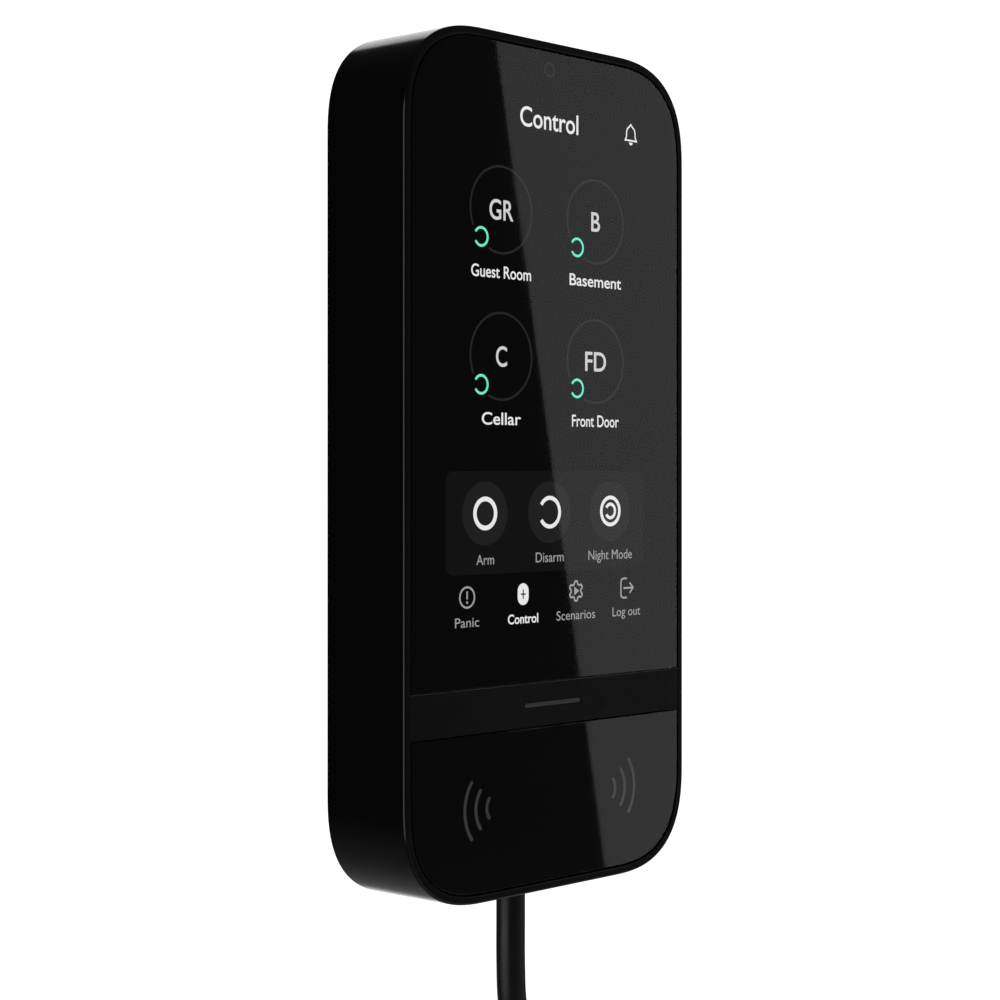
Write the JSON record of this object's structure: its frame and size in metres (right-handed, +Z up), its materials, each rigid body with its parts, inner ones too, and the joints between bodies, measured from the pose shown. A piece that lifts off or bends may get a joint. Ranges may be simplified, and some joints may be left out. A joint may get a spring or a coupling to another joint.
{
  "type": "alarm keypad panel",
  "caption": "Wall-mounted alarm keypad panel with a touchscreen, a contactless reader, a lift-off wall bracket and a coiled cable.",
  "frame": {"origin": "middle of the bracket's wall face, level with the middle of the case", "axes": "+Y into the wall, +Z up, +X to the right of a person who faces the panel"},
  "size_m": [0.0786, 0.0215, 0.2753],
  "materials": {
    "case": "fine satin moulding, black",
    "pane": "polished glass with a black printed back",
    "band": "fine-grained satin, black",
    "light_pipe": "clear moulding, diffusing",
    "adhesive": "foam tape",
    "display": "display cell",
    "reflector": "white moulding",
    "sheet_metal": "tinned sheet steel",
    "screw": "zinc-plated steel",
    "flex": "polyimide flexible circuit",
    "chip": "moulded package",
    "board": "solder mask over copper tracks",
    "copper": "copper track",
    "ferrite": "ferrite sheet",
    "connector": "natural nylon",
    "gold": "gold-plated contact",
    "button": "white moulding",
    "bracket": "moulded black plastic",
    "terminal": "moulded green plastic",
    "rubber": "moulded rubber",
    "sheath": "smooth black cable sheath",
    "cores": "insulated cores",
    "tie": "releasable cable tie"
  },
  "bodies": {
    "bracket": {"mounting_bracket": "bracket", "terminal_board": "board", "contact_pads": "gold", "terminal_board_screws": "screw", "terminal_block": "terminal", "terminal_screws": "screw", "cable_clamp": "bracket", "clamp_screws": "screw", "cable_bush": "rubber", "cable_inner": "sheath", "cable_cores": "cores", "holding_screw": "screw", "cable": "sheath", "cable_coil": "sheath", "cable_tail": "sheath", "coil_ties": "tie", "cable_connector": "connector"},
    "keypad": {"front_housing": "case", "touch_glass": "pane", "reader_glass": "pane", "centre_band": "band", "status_light_pipe": "light_pipe", "touch_glass_adhesive": "adhesive", "reader_glass_adhesive": "adhesive", "display_cell": "display", "backlight": "reflector", "display_tray": "sheet_metal", "tray_screws": "screw", "display_flex": "flex", "light_guide": "light_pipe", "light_sensor": "chip", "indicator_board": "board", "indicator_leds": "reflector", "reader_board": "board", "reader_loop": "copper", "ferrite_sheet": "ferrite", "reader_flex": "flex", "main_board": "board", "board_screws": "screw", "processor_shield": "sheet_metal", "radio_shield": "sheet_metal", "flex_connectors": "connector", "capacitors": "sheet_metal", "sounder": "chip", "tamper_switch": "chip", "power_switch": "chip", "contact_block": "connector", "contact_pins": "gold", "rear_cover": "case", "rear_cover_screws": "screw"},
    "tamper": {"tamper_button": "button"},
    "power": {"power_button": "chip"}
  },
  "joints": [
    {"name": "lift_off", "type": "slide", "parent": "bracket", "child": "keypad", "axis": [0, 0, 1], "range_m": [0, 0.006]},
    {"name": "tamper_press", "type": "slide", "parent": "keypad", "child": "tamper", "axis": [0, -1, 0], "range_m": [0, 0.001], "stiffness_N_per_m": 400, "springref_m": -0.002},
    {"name": "power_press", "type": "slide", "parent": "keypad", "child": "power", "axis": [0, -1, 0], "range_m": [0, 0.0007], "stiffness_N_per_m": 1500, "springref_m": -0.0004}
  ]
}
